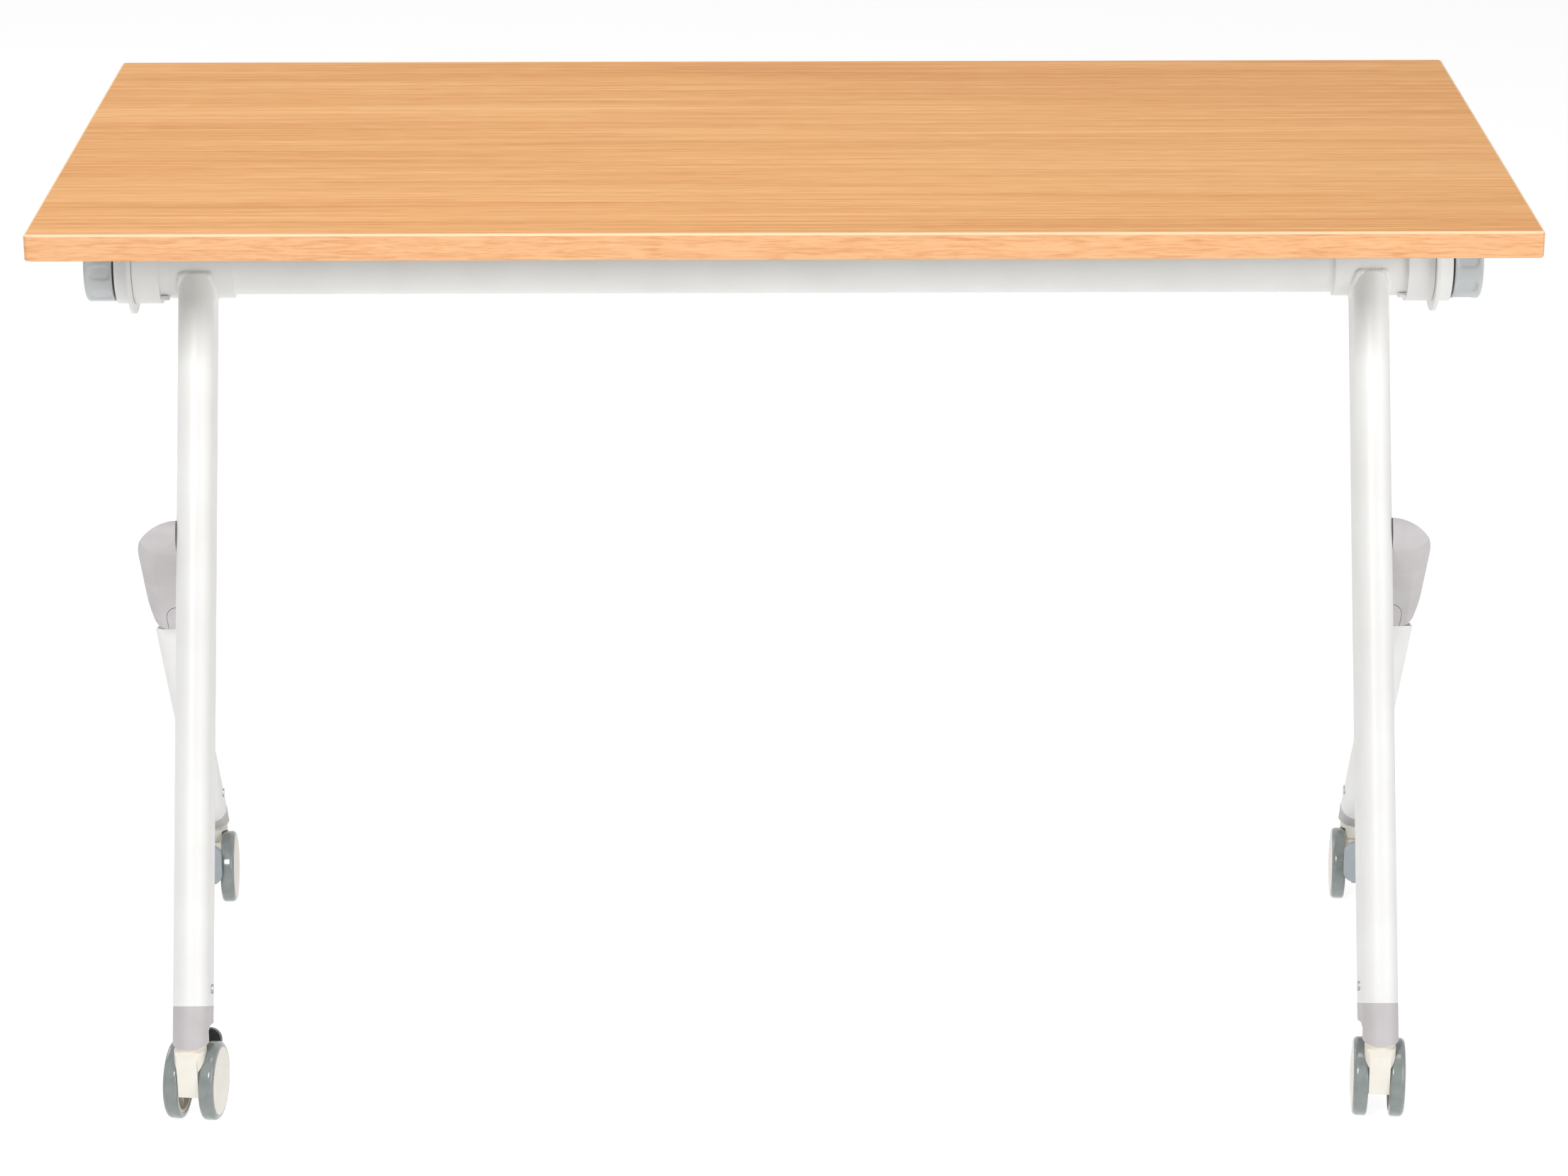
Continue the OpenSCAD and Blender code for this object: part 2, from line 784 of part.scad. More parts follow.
// Puts a caster's pieces in place: in its frame the swivel axis is Z and the axle lies at +Y
module at_caster(caster) {
    caster_x = caster[2] == 1 ? rear_x : leg_x;
    caster_y = caster[2] == 1 ? rear_stem_y : front_stem_y;
    translate([caster[1] * caster_x, caster_y, 0])
        rotate([0, 0, caster[3] + 180 * caster[2]]) children();
}

// A cylinder along X on the axle, between two x values
module axle_round(radius, start, end) {
    translate([start, caster_trail, wheel_radius]) rotate([0, 90, 0])
        cylinder(r = radius, h = end - start);
}

// Side view of the caster's body, in (y, z): a chin in front, round about the axle
module block_side() {
    neck_front_y = -neck_diameter / 2;
    polygon([
        [-block_reach, block_bottom],
        [caster_trail - 4, wheel_radius - axle_boss_radius + 0.7],
        [caster_trail + axle_boss_radius - 1, wheel_radius + 3],
        [caster_trail - 2, shoulder_bottom + 7],
        [neck_diameter / 2 - 4, neck_top - 4],
        [neck_front_y, neck_top - 4],
        [-chin_reach, shoulder_top + 4],
        [-chin_reach, shoulder_top - 1],
        [-block_reach, shoulder_bottom],
    ]);
    translate([caster_trail, wheel_radius]) circle(r = axle_boss_radius);
}

// Front view of the neck: full width above, drawn in over the shoulder to the block
module neck_front() {
    full = neck_diameter / 2;
    slim = body_width / 2;
    polygon([
        [-slim, block_bottom],
        [slim, block_bottom],
        [slim, shoulder_bottom],
        [(slim + full) / 2 + 0.8, (shoulder_bottom + shoulder_top) / 2 - 0.4],
        [full, shoulder_top],
        [full, caster_height],
        [-full, caster_height],
        [-full, shoulder_top],
        [-(slim + full) / 2 - 0.8, (shoulder_bottom + shoulder_top) / 2 - 0.4],
        [-slim, shoulder_bottom],
    ]);
}

// Plan of the chin, drawn out forwards from the neck's round
module chin() {
    front_y = neck_diameter / 2 - chin_reach;
    translate([0, 0, shoulder_bottom]) linear_extrude(neck_top - shoulder_bottom) {
        circle(d = neck_diameter);
        translate([0, front_y]) circle(d = neck_diameter);
        translate([-neck_diameter / 2, front_y]) square([neck_diameter, -front_y]);
    }
}

module caster_body(caster) {
    slot_floor = arm_hub_radius + side_clearance;
    color(nylon_cream) at_caster(caster) difference() {
        union() {
            translate([0, 0, shoulder_top]) cylinder(d = neck_diameter, h = neck_top - shoulder_top);
            intersection() {
                chin();
                translate([0, neck_diameter, 0]) rotate([90, 0, 0])
                    linear_extrude(2 * neck_diameter) neck_front();
                translate([-neck_diameter, 0, 0]) rotate([90, 0, 90])
                    linear_extrude(2 * neck_diameter) block_side();
            }
            translate([-body_width / 2, 0, 0]) rotate([90, 0, 90])
                linear_extrude(body_width) block_side();
        }
        for (side = [-1, 1]) on_side(side)
            axle_round(wheel_radius + 2 * side_clearance, body_width / 2, neck_diameter);
        axle_round(slot_floor, -arm_slot / 2, arm_slot / 2);
        translate([-arm_slot / 2, caster_trail, wheel_radius - slot_floor - 7])
            cube([arm_slot, axle_boss_radius * 2, 2 * slot_floor + 10]);
        axle_round(axle_diameter / 2, -far, far);
        translate([0, 0, neck_top - stem_seat]) cylinder(d = stem_diameter, h = stem_seat + 1);
    }
}

// The swivel stem and the axle, both pressed into the caster's body
module caster_pins(caster) {
    color(steel) at_caster(caster) {
        translate([0, 0, neck_top - stem_seat])
            cylinder(d = stem_diameter, h = stem_seat + mount_gap + stem_length);
        axle_round(axle_diameter / 2, -axle_reach, axle_reach);
    }
}

// Foot pedal: an arm that turns about the axle and a rounded paddle behind the wheels
module brake_pedal(caster) {
    paddle_back = paddle_reach + paddle_thickness;
    paddle_low = -1;
    corner = 10;
    shade = caster[2] == 1 ? pedal_grey : pedal_dark;
    color(shade) at_caster(caster) translate([0, caster_trail, wheel_radius])
        rotate([-caster[4], 0, 0]) difference() {
            union() {
                rotate([0, 90, 0])
                    cylinder(r = arm_hub_radius, h = arm_width, center = true);
                translate([-arm_width / 2, 0, -4]) cube([arm_width, paddle_reach + 1, 11]);
                translate([0, paddle_back, paddle_low + pedal_height / 2]) rotate([90, 0, 0])
                    linear_extrude(paddle_thickness)
                        rounded_rectangle(pedal_width, pedal_height, corner);
            }
            rotate([0, 90, 0]) cylinder(
                r = axle_diameter / 2 + running_clearance, h = 2 * arm_width, center = true
            );
        }
}

// A wheel's pieces are drawn on +X and mirrored for a wheel on the other side of its caster
module on_wheel(caster, place) {
    local_side = place * caster[1] * (caster[2] == 1 ? -1 : 1);
    at_caster(caster) on_side(local_side) children();
}

// Hollow cream wheel: a domed outer face, a rim, a centre boss and ribs
module wheel_hub(caster, place) {
    face = 3;
    rim = 2.6;
    boss_radius = 6.5;
    rib_count = 6;
    rib_thickness = 1.6;
    dome_radius = (hub_radius * hub_radius + face_dome * face_dome) / (2 * face_dome);
    face_top = wheel_width - face_dome;
    color(nylon_cream) on_wheel(caster, place) difference() {
        translate([wheel_inner, caster_trail, wheel_radius]) rotate([0, 90, 0]) union() {
            rotate_extrude() {
                intersection() {
                    translate([0, face_top - face]) square([hub_radius, face + face_dome]);
                    translate([0, wheel_width - dome_radius])
                        circle(r = dome_radius, $fn = 256);
                }
                translate([hub_radius - rim, 0.6]) square([rim, face_top - 1]);
                square([boss_radius, face_top - 1]);
            }
            for (i = [0 : rib_count - 1]) rotate([0, 0, i * 360 / rib_count])
                translate([boss_radius - 1, -rib_thickness / 2, 3])
                    cube([hub_radius - rim - boss_radius + 1.5, rib_thickness, face_top - 5]);
        }
        axle_round(axle_diameter / 2 + running_clearance, 0, axle_reach + side_clearance);
    }
}

module tyre(caster, place) {
    inner_round = 2.5;
    side = wheel_width - face_dome;
    color(tyre_grey) on_wheel(caster, place)
        translate([wheel_inner, caster_trail, wheel_radius]) rotate([0, 90, 0])
            rotate_extrude() intersection() {
                translate([hub_radius, 0]) square([tyre_thickness, side]);
                union() {
                    square([wheel_radius - tyre_round, side]);
                    square([wheel_radius - inner_round, side - tyre_round]);
                    translate([0, inner_round])
                        square([wheel_radius, side - tyre_round - inner_round]);
                    translate([wheel_radius - tyre_round, side - tyre_round])
                        circle(r = tyre_round);
                    translate([wheel_radius - inner_round, inner_round])
                        circle(r = inner_round);
                }
            }
}

table_board();
edge_band();
beam_tube();
pivot_axles();
friction_washers();
leg_pivot_pins();
front_cap_screws();
bracket_screws();
for (side = SIDES) {
    name = side[0];
    on_side(side[1]) leg_sleeve();
    on_side(side[1]) pivot_collar();
    on_side(side[1]) front_leg();
    on_side(side[1]) front_leg_cap();
    on_side(side[1]) tilt_hub();
    on_side(side[1]) tilt_bracket();
    on_side(side[1]) knob(side[2]);
    on_side(side[1]) rear_leg();
    on_side(side[1]) hinge_housing();
    on_side(side[1]) rear_leg_cap();
    on_side(side[1]) rear_cap_screw();
    on_side(side[1]) release_button();
}
for (caster = CASTERS) {
    name = caster[0];
    caster_body(caster);
    caster_pins(caster);
    brake_pedal(caster);
    wheel_hub(caster, -1);
    wheel_hub(caster, 1);
    tyre(caster, -1);
    tyre(caster, 1);
}
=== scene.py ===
"""Looks of a folding desk on casters.

It dresses the CAD solids, adds a few fine pieces, and sets the studio and the camera.
"""
import logging
import math
from dataclasses import dataclass
from enum import Enum
from typing import Any, Iterable, Optional, Sequence

import bmesh
import bpy
from mathutils import Matrix, Vector


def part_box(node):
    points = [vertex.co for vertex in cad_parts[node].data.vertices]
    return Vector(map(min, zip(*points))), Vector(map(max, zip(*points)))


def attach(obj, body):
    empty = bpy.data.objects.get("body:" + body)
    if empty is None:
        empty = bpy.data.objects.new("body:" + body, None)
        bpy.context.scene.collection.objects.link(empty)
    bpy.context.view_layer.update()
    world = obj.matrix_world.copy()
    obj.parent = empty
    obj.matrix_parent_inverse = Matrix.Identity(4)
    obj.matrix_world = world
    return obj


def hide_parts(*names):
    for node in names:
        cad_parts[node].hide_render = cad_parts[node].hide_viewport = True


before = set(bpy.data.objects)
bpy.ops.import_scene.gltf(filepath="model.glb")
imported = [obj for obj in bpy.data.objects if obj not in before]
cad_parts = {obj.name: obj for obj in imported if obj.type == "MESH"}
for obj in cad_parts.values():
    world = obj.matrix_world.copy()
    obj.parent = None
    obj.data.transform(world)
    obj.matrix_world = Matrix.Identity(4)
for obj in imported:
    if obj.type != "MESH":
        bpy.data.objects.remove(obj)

LOG = logging.getLogger("folding_desk")
MM = 0.001
WELD_DISTANCE = 0.002 * MM
BEVEL_SEGMENTS = 6


class Side(Enum):
    """The two ends of the desk, as the sign of X."""

    LEFT = -1
    RIGHT = 1

    @property
    def word(self) -> str:
        """The ending that this side's nodes and bodies have."""
        return self.name.lower()


class Corner(Enum):
    """The four casters, by their nodes' ending."""

    FRONT_LEFT = "front_left"
    FRONT_RIGHT = "front_right"
    REAR_LEFT = "rear_left"
    REAR_RIGHT = "rear_right"


# ---------------------------------------------------------------- nodes and colours


def linear(colour: str) -> tuple[float, float, float, float]:
    """Turns a hex sRGB colour into Blender's linear one.

    Args:
        colour: Six hex digits, with or without a leading #.
    Returns:
        Red, green and blue from 0 to 1 in linear light, and full alpha.
    """
    digits = colour.lstrip("#")
    parts = [int(digits[i : i + 2], 16) / 255 for i in (0, 2, 4)]
    flat = [c / 12.92 if c <= 0.04045 else ((c + 0.055) / 1.055) ** 2.4 for c in parts]
    return (flat[0], flat[1], flat[2], 1.0)


def add_node(
    tree: bpy.types.NodeTree,
    kind: str,
    inputs: Optional[dict[Any, Any]] = None,
    **settings: Any,
) -> bpy.types.Node:
    """Adds one node, sets its options and fills its sockets.

    Args:
        tree: The node tree that takes it.
        kind: The node's type without the ShaderNode prefix.
        inputs: A value or an output socket for each input, by its name or number.
        settings: The node's own options, by name.
    Returns:
        The new node.
    """
    node = tree.nodes.new("ShaderNode" + kind)
    for name, value in settings.items():
        setattr(node, name, value)
    for key, value in (inputs or {}).items():
        if isinstance(value, bpy.types.NodeSocket):
            tree.links.new(value, node.inputs[key])
        else:
            node.inputs[key].default_value = value
    return node


def stretched(
    tree: bpy.types.NodeTree, source: bpy.types.NodeSocket, size: Sequence[float]
) -> bpy.types.NodeSocket:
    """Scales coordinates so that one unit of pattern has the given real size.

    Args:
        tree: The node tree.
        source: Coordinates in metres.
        size: The pattern's length along X, Y and Z, in millimetres.
    Returns:
        The scaled coordinates.
    """
    scale = [1 / (s * MM) for s in size]
    return add_node(tree, "Mapping", {"Vector": source, "Scale": scale}).outputs[0]


def ramp(
    tree: bpy.types.NodeTree, factor: bpy.types.NodeSocket, stops: dict[float, str]
) -> bpy.types.NodeSocket:
    """Maps a factor to colours.

    Args:
        tree: The node tree.
        factor: The value from 0 to 1.
        stops: The hex colour at each position.
    Returns:
        The colour output.
    """
    node = add_node(tree, "ValToRGB", {"Fac": factor})
    elements = node.color_ramp.elements
    while len(elements) < len(stops):
        elements.new(0.5)
    for element, (position, colour) in zip(elements, sorted(stops.items())):
        element.position = position
        element.color = linear(colour)
    return node.outputs["Color"]


def blend(
    tree: bpy.types.NodeTree,
    factor: float,
    first: bpy.types.NodeSocket,
    second: bpy.types.NodeSocket,
) -> bpy.types.NodeSocket:
    """Blends two values.

    Args:
        tree: The node tree.
        factor: The second value's share, from 0 to 1.
        first: The first value.
        second: The second value.
    Returns:
        The blended value.
    """
    inputs = {"Factor": factor, "A": first, "B": second}
    return add_node(tree, "Mix", inputs, data_type="FLOAT").outputs[0]


def switched(
    tree: bpy.types.NodeTree,
    factor: bpy.types.NodeSocket,
    colour: bpy.types.NodeSocket,
    other: str,
) -> bpy.types.NodeSocket:
    """Changes to another colour where a factor is 1.

    Args:
        tree: The node tree.
        factor: 0 or 1 at each place.
        colour: The colour where the factor is 0.
        other: The hex colour where it is 1.
    Returns:
        The colour output.
    """
    inputs = {"Factor": factor, "A": colour, "B": linear(other)}
    return add_node(tree, "Mix", inputs, data_type="RGBA").outputs["Result"]


# ---------------------------------------------------------------- finishes


@dataclass(frozen=True)
class Finish:
    """What all finishes share: a real material's name, its colour and its gloss."""

    name: str
    colour: str
    roughness: float

    def material(self) -> bpy.types.Material:
        """Returns the finish's material, which is built on first use."""
        found = bpy.data.materials.get(self.name)
        if found is not None:
            return found
        made = bpy.data.materials.new(self.name)
        made.use_nodes = True
        made.diffuse_color = linear(self.colour)
        tree = made.node_tree
        tree.nodes.clear()
        shader = add_node(tree, "BsdfPrincipled", {"Roughness": self.roughness})
        output = add_node(tree, "OutputMaterial")
        tree.links.new(shader.outputs[0], output.inputs[0])
        place = add_node(tree, "TexCoord").outputs["Object"]
        self.paint(tree, shader, place)
        return made

    def paint(
        self,
        tree: bpy.types.NodeTree,
        shader: bpy.types.Node,
        place: bpy.types.NodeSocket,
    ) -> None:
        """Adds the colour, roughness and relief of this finish.

        Args:
            tree: The material's node tree.
            shader: Its main shader.
            place: Object coordinates in metres.
        """
        raise NotImplementedError

    @staticmethod
    def noise(
        tree: bpy.types.NodeTree,
        place: bpy.types.NodeSocket,
        size: Sequence[float],
        detail: float = 2.0,
        distortion: float = 0.0,
    ) -> bpy.types.NodeSocket:
        """Returns noise whose blobs have the given real size in millimetres."""
        node = add_node(
            tree,
            "TexNoise",
            {
                "Vector": stretched(tree, place, size),
                "Scale": 1.0,
                "Detail": detail,
                "Distortion": distortion,
            },
        )
        return node.outputs[0]

    @staticmethod
    def relief(
        tree: bpy.types.NodeTree,
        shader: bpy.types.Node,
        height: bpy.types.NodeSocket,
        depth: float,
        strength: float,
    ) -> None:
        """Gives the shader a bump from a height, with its depth in millimetres."""
        bump = add_node(
            tree,
            "Bump",
            {"Height": height, "Distance": depth * MM, "Strength": strength},
        )
        tree.links.new(bump.outputs[0], shader.inputs["Normal"])

    def shaded(
        self,
        tree: bpy.types.NodeTree,
        shader: bpy.types.Node,
        factor: bpy.types.NodeSocket,
        shade: str,
    ) -> None:
        """Lets the colour drift from a shade, where the factor is low, to its full value."""
        colour = ramp(tree, factor, {0.3: shade, 0.7: self.colour})
        tree.links.new(colour, shader.inputs["Base Color"])

    @staticmethod
    def spread(
        tree: bpy.types.NodeTree,
        value: bpy.types.NodeSocket,
        low: float,
        high: float,
    ) -> bpy.types.NodeSocket:
        """Stretches noise, which keeps to its middle, between two values."""
        node = add_node(
            tree,
            "MapRange",
            {"Value": value, "From Min": 0.25, "From Max": 0.75, "To Min": low, "To Max": high},
        )
        return node.outputs[0]


@dataclass(frozen=True)
class PowderCoat(Finish):
    """Polyester powder, baked on steel: it melts into a satin skin with a faint orange peel."""

    shade: str = "#f5f4f2"
    peel: float = 1.4
    cloud_size: float = 60

    def paint(
        self,
        tree: bpy.types.NodeTree,
        shader: bpy.types.Node,
        place: bpy.types.NodeSocket,
    ) -> None:
        """Adds the slightly uneven colour, the satin gloss and the orange peel."""
        cloud = self.noise(tree, place, (self.cloud_size,) * 3, 3)
        self.shaded(tree, shader, cloud, self.shade)
        skin = self.noise(tree, place, (self.peel,) * 3, 2)
        gloss = self.spread(tree, skin, self.roughness - 0.04, self.roughness + 0.05)
        tree.links.new(gloss, shader.inputs["Roughness"])
        self.relief(tree, shader, skin, 0.02, 0.35)


@dataclass(frozen=True)
class MouldedPlastic(Finish):
    """Injection-moulded plastic: the mould's spark-eroded grain dulls it evenly."""

    shade: str = "#c7c2c3"
    grain: float = 0.35
    depth: float = 0.02
    soft: float = 0.0
    glow: float = 0.0015
    drift_size: float = 25

    def paint(
        self,
        tree: bpy.types.NodeTree,
        shader: bpy.types.Node,
        place: bpy.types.NodeSocket,
    ) -> None:
        """Adds the colour's slow drift, the fine grain and, in thin nylon, some depth."""
        drift = self.noise(tree, place, (self.drift_size,) * 3, 3)
        self.shaded(tree, shader, drift, self.shade)
        grain = self.noise(tree, place, (self.grain,) * 3, 2)
        gloss = self.spread(tree, grain, self.roughness - 0.05, self.roughness + 0.06)
        tree.links.new(gloss, shader.inputs["Roughness"])
        self.relief(tree, shader, grain, self.depth, 0.4)
        if self.soft > 0:
            shader.inputs["Subsurface Weight"].default_value = self.soft
            shader.inputs["Subsurface Radius"].default_value = (1.0, 0.6, 0.3)
            shader.inputs["Subsurface Scale"].default_value = self.glow


@dataclass(frozen=True)
class Polyurethane(Finish):
    """Cast polyurethane tread: smooth and glossy from the mould, scuffed a little by the floor."""

    shade: str = "#7f8986"
    scuff: float = 3.0
    cloud_size: float = 12
    coat: float = 0.35
    coat_roughness: float = 0.12

    def paint(
        self,
        tree: bpy.types.NodeTree,
        shader: bpy.types.Node,
        place: bpy.types.NodeSocket,
    ) -> None:
        """Adds the greenish grey, its scuffs and the wet gloss."""
        cloud = self.noise(tree, place, (self.cloud_size,) * 3, 4)
        self.shaded(tree, shader, cloud, self.shade)
        scuffs = self.noise(tree, place, (self.scuff,) * 3, 5, 0.6)
        gloss = self.spread(tree, scuffs, self.roughness - 0.06, self.roughness + 0.12)
        tree.links.new(gloss, shader.inputs["Roughness"])
        self.relief(tree, shader, scuffs, 0.02, 0.25)
        shader.inputs["Coat Weight"].default_value = self.coat
        shader.inputs["Coat Roughness"].default_value = self.coat_roughness


@dataclass(frozen=True)
class ZincSteel(Finish):
    """Zinc-plated steel: tumbled in the plating drum, so it is bright with soft fine scratches."""

    shade: str = "#a9acb0"

    def paint(
        self,
        tree: bpy.types.NodeTree,
        shader: bpy.types.Node,
        place: bpy.types.NodeSocket,
    ) -> None:
        """Adds the metal's colour and its fine scratches."""
        shader.inputs["Metallic"].default_value = 1.0
        lines = self.noise(tree, place, (4, 0.25, 0.25), 4)
        self.shaded(tree, shader, lines, self.shade)
        gloss = self.spread(tree, lines, self.roughness - 0.08, self.roughness + 0.1)
        tree.links.new(gloss, shader.inputs["Roughness"])
        self.relief(tree, shader, lines, 0.01, 0.3)


@dataclass(frozen=True)
class BeechLaminate(Finish):
    """Melamine-faced board with a printed beech: fine fibres along X under a matt skin."""

    dark: str = "#d8914c"
    light: str = "#fabf80"
    backing: str = "#b9b4ab"
    backing_top: float = 728.5
    band_size: tuple[float, float, float] = (1500, 60, 60)
    fibre_size: tuple[float, float, float] = (260, 3.6, 3.6)
    fleck_size: tuple[float, float, float] = (34, 3.0, 3.0)
    fibre_share: float = 0.58
    fleck_share: float = 0.22

    def paint(
        self,
        tree: bpy.types.NodeTree,
        shader: bpy.types.Node,
        place: bpy.types.NodeSocket,
    ) -> None:
        """Adds slow bands, long fine fibres, short light flecks and the grey backing."""
        bands = self.noise(tree, place, self.band_size, 3, 0.3)
        fibres = self.noise(tree, place, self.fibre_size, 4)
        flecks = self.noise(tree, place, self.fleck_size, 2)
        both = blend(tree, self.fibre_share, bands, fibres)
        grain = blend(tree, self.fleck_share, both, flecks)
        colour = ramp(tree, grain, {0.38: self.dark, 0.5: self.colour, 0.62: self.light})
        height = add_node(tree, "SeparateXYZ", {"Vector": place}).outputs["Z"]
        limit = {0: height, 1: self.backing_top * MM}
        under = add_node(tree, "Math", limit, operation="LESS_THAN").outputs[0]
        faced = switched(tree, under, colour, self.backing)
        tree.links.new(faced, shader.inputs["Base Color"])
        gloss = self.spread(tree, fibres, self.roughness - 0.05, self.roughness + 0.05)
        tree.links.new(gloss, shader.inputs["Roughness"])
        self.relief(tree, shader, fibres, 0.03, 0.25)


@dataclass(frozen=True)
class BeechEdge(Finish):
    """Plastic edge band with a printed beech; its rounded upper lip takes a paler colour, a painted
    highlight.
    """

    dark: str = "#dd9660"
    light: str = "#f7c48f"
    # The painted highlight's colour on the rounded upper lip, and the height where it starts.
    lip_highlight: str = "#fddcb3"
    highlight_start: float = 748.4
    wave_size: tuple[float, float, float] = (42, 3.0, 3.0)
    line_size: tuple[float, float, float] = (14, 1.1, 1.1)
    line_share: float = 0.42

    def paint(
        self,
        tree: bpy.types.NodeTree,
        shader: bpy.types.Node,
        place: bpy.types.NodeSocket,
    ) -> None:
        """Adds grain along the band, whichever way that side runs, and the painted highlight on the
        upper lip.
        """
        parts = add_node(tree, "SeparateXYZ", {"Vector": place}).outputs
        along = add_node(tree, "Math", {0: parts["X"], 1: parts["Y"]}, operation="ADD").outputs[0]
        flat = add_node(tree, "CombineXYZ", {"X": along, "Y": parts["Z"]}).outputs[0]
        waves = self.noise(tree, flat, self.wave_size, 5, 0.9)
        lines = self.noise(tree, flat, self.line_size, 3, 0.3)
        both = blend(tree, self.line_share, waves, lines)
        colour = ramp(tree, both, {0.32: self.dark, 0.5: self.colour, 0.66: self.light})
        # Painted highlight: above this height the band turns pale, standing in for the light that
        # the rounded lip catches.
        limit = {0: parts["Z"], 1: self.highlight_start * MM}
        above = add_node(tree, "Math", limit, operation="GREATER_THAN").outputs[0]
        highlighted = switched(tree, above, colour, self.lip_highlight)
        tree.links.new(highlighted, shader.inputs["Base Color"])
        self.relief(tree, shader, both, 0.03, 0.2)


POWDER_WHITE = PowderCoat("powder_coat_white", "#fbfbf9", 0.42)
BEECH_TOP = BeechLaminate("melamine_beech", "#ebaa66", 0.58)
BEECH_EDGE = BeechEdge("abs_edge_band_beech", "#f1b581", 0.45)
HOUSING_GREY = MouldedPlastic("polypropylene_grey", "#cfcbcc", 0.5)
KNOB_GREY = MouldedPlastic("abs_knob_grey", "#d2d5d6", 0.3, shade="#c8cccd", depth=0.01)
DARK_WASHER = MouldedPlastic("nylon_washer_black", "#17181a", 0.5, shade="#101112")
CASTER_CREAM = MouldedPlastic("nylon_cream", "#fdf8ee", 0.36, shade="#f9f2e6", soft=0.25)
TREAD_GREY = Polyurethane("polyurethane_tread_grey", "#919997", 0.12, shade="#818a88")
PEDAL_GREY = MouldedPlastic("nylon_pedal_grey", "#a9b1b6", 0.4, shade="#9fa8ad")
# Painted shade: a darker copy of the pedal plastic for the front pedals, which are the same part as
# the rear ones.
PEDAL_PAINTED_SHADE = MouldedPlastic("nylon_pedal_painted_shade", "#4f4e50", 0.38, shade="#474648")
ZINC = ZincSteel("zinc_plated_steel", "#c6c8cb", 0.32)

FINISHES: dict[str, Finish] = {
    "beech_top": BEECH_TOP,
    "beech_edge": BEECH_EDGE,
    "powder_white": POWDER_WHITE,
    "housing_grey": HOUSING_GREY,
    "knob_grey": KNOB_GREY,
    "dark_washer": DARK_WASHER,
    "zinc_steel": ZINC,
    "caster_cream": CASTER_CREAM,
    "tread_grey": TREAD_GREY,
    "pedal_grey": PEDAL_GREY,
    "pedal_dark": PEDAL_PAINTED_SHADE,
}


# ---------------------------------------------------------------- pieces


def add_piece(
    name: str, bm: bmesh.types.BMesh, body: str, slot: str, sharp: float = 40.0
) -> bpy.types.Object:
    """Closes a mesh and makes it a piece of the object.

    Args:
        name: The piece's name.
        bm: The mesh, with its place in its vertices, in metres. It is freed.
        body: The body that it rides on.
        slot: The slot whose finish it takes.
        sharp: The angle in degrees above which an edge stays hard.
    Returns:
        The new object at the origin.
    """
    bmesh.ops.remove_doubles(bm, verts=bm.verts, dist=WELD_DISTANCE)
    bmesh.ops.recalc_face_normals(bm, faces=bm.faces)
    mesh = bpy.data.meshes.new(name)
    bm.to_mesh(mesh)
    bm.free()
    mesh.shade_smooth()
    mesh.set_sharp_from_angle(angle=math.radians(sharp))
    mesh.materials.append(FINISHES[slot].material())
    piece = bpy.data.objects.new(name, mesh)
    bpy.context.scene.collection.objects.link(piece)
    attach(piece, body)
    LOG.info("made %s with %d faces", name, len(mesh.polygons))
    return piece


def dress(nodes: Iterable[str], slot: str) -> None:
    """Gives solids that stay as they are their finish.

    Args:
        nodes: The nodes' names.
        slot: The slot whose finish they take.
    """
    for name in nodes:
        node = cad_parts[name]
        node.data.materials.clear()
        node.data.materials.append(FINISHES[slot].material())
        LOG.info("dressed %s in %s", name, FINISHES[slot].name)


def cut_bevel(bm: bmesh.types.BMesh, edges: Iterable[bmesh.types.BMEdge], size: float) -> None:
    """Rounds edges.

    Args:
        bm: The mesh.
        edges: The edges to round.
        size: The radius in metres.
    """
    bmesh.ops.bevel(
        bm,
        geom=list(edges),
        offset=size,
        affect="EDGES",
        offset_type="OFFSET",
        segments=BEVEL_SEGMENTS,
        profile=0.5,
        material=-1,
    )


def spun(
    profile: Sequence[tuple[float, float]], axis_y: float, axis_z: float, steps: int, start: float
) -> bmesh.types.BMesh:
    """Turns a profile into a round body about an axis along X.

    Args:
        profile: Places (x, radius) in metres, from one end of the outline to the other.
        axis_y: The axis' place along Y.
        axis_z: The axis' height.
        steps: The number of segments round the axis.
        start: The angle of the first segment from +Z towards -Y, in radians.
    Returns:
        The mesh, whose ends on the axis are still to be merged.
    """
    bm = bmesh.new()
    away = Vector((0, -math.sin(start), math.cos(start)))
    verts = [bm.verts.new(Vector((x, axis_y, axis_z)) + away * r) for x, r in profile]
    edges = [bm.edges.new(pair) for pair in zip(verts, verts[1:])]
    bmesh.ops.spin(
        bm,
        geom=verts + edges,
        cent=(0, axis_y, axis_z),
        axis=(1, 0, 0),
        angle=2 * math.pi,
        steps=steps,
        use_merge=True,
    )
    return bm


